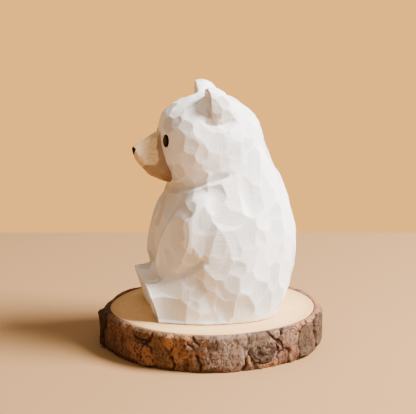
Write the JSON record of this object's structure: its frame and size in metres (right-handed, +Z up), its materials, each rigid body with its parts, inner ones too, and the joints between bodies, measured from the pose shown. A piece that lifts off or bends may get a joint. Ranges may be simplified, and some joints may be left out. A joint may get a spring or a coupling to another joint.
{
  "type": "carved wooden bear figurine",
  "caption": "Hand-carved seated bear in white-painted wood with a bare-wood muzzle and bead eyes, standing loose on a round slice of log with its bark on.",
  "frame": {"origin": "middle of the log slice's flat underside, on the surface that the object stands on", "axes": "+Z up, the bear faces -Y, and +X is to the bear's left"},
  "size_m": [0.089, 0.095, 0.1078],
  "materials": {
    "white_paint": "matt white paint over knife-carved wood",
    "bare_wood": "bare carved wood, rubbed with clear oil",
    "black_gloss": "glossy black",
    "sawn_wood": "sawn and sanded end grain",
    "inner_bark": "dry red-brown inner bark",
    "outer_bark": "dry grey-brown outer bark"
  },
  "bodies": {
    "base": {"slice_wood": "sawn_wood", "inner_bark": "inner_bark", "bark_scale_01": "outer_bark", "bark_scale_02": "outer_bark", "bark_scale_03": "outer_bark", "bark_scale_04": "outer_bark", "bark_scale_05": "outer_bark", "bark_scale_06": "outer_bark", "bark_scale_07": "outer_bark", "bark_scale_08": "outer_bark", "bark_scale_09": "outer_bark", "bark_scale_10": "outer_bark", "bark_scale_11": "outer_bark", "bark_scale_12": "outer_bark", "bark_scale_13": "outer_bark", "bark_scale_14": "outer_bark", "bark_scale_15": "outer_bark", "bark_scale_16": "outer_bark"},
    "bear": {"carved_body": "white_paint", "muzzle": "bare_wood", "nose": "black_gloss", "eye_left": "black_gloss", "eye_right": "black_gloss"}
  },
  "joints": [
    {"name": "figurine_lift", "type": "slide", "parent": "base", "child": "bear", "axis": [0, 0, 1], "range_m": [0, 0.04]}
  ]
}
